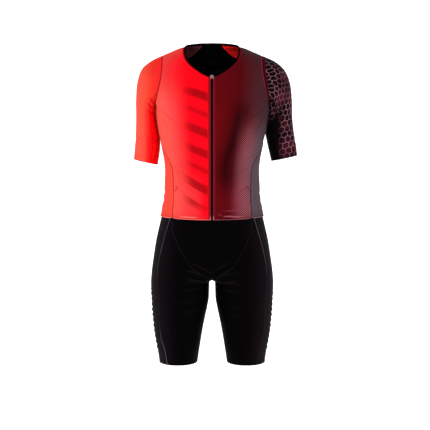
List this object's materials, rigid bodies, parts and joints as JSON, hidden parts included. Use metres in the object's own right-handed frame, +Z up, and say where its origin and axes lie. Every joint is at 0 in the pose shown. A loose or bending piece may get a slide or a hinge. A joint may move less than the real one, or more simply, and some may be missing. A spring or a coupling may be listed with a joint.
{
  "type": "triathlon suit",
  "caption": "Short-sleeved one-piece triathlon suit with a full front zip, a low round neck and thigh-length shorts, filled out as worn.",
  "frame": {"origin": "midway between the two points where the neckline crosses the shoulders, where the wearer's shoulders hold the suit", "axes": "+Z up the wearer, -Y out of the chest, +X to the wearer's left"},
  "size_m": [0.4824, 0.2445, 0.944],
  "materials": {
    "red_mesh": "matt stretch mesh, bright red",
    "wine_mesh": "matt stretch mesh, wine fading to grey mauve",
    "black_knit": "smooth black stretch knit",
    "hexagon_print": "dark stretch knit with a hexagon net in mauve",
    "binding": "folded elastic binding, black",
    "zip_tape": "woven tape, dark wine",
    "zip_plastic": "black moulded coil",
    "slider_metal": "satin grey paint on zinc",
    "shorts_knit": "compressive black knit with a faint sheen",
    "ribbed_knit": "black knit with raised slanting ribs"
  },
  "bodies": {
    "suit": {"front_right": "red_mesh", "side_right": "red_mesh", "front_left": "wine_mesh", "side_left": "wine_mesh", "back": "black_knit", "yoke_left": "red_mesh", "yoke_right": "wine_mesh", "sleeve_right_over": "red_mesh", "sleeve_right_under": "red_mesh", "sleeve_left_over": "hexagon_print", "sleeve_left_under": "black_knit", "neck_binding": "binding", "zip_tape_left": "zip_tape", "zip_tape_right": "zip_tape", "zip_teeth": "zip_plastic", "slider": "slider_metal", "shorts_front": "shorts_knit", "thigh_left": "shorts_knit", "thigh_right": "shorts_knit", "leg_back_left": "shorts_knit", "leg_back_right": "shorts_knit", "leg_side_left": "ribbed_knit", "leg_side_right": "ribbed_knit"},
    "pull_tab": {"pull_tab": "slider_metal"}
  },
  "joints": [
    {"name": "pull_tab_hinge", "type": "hinge", "parent": "suit", "child": "pull_tab", "pos_m": [0, -0.1017, -0.08795], "axis": [-1, 0, 0], "range_deg": [0, 150]}
  ]
}
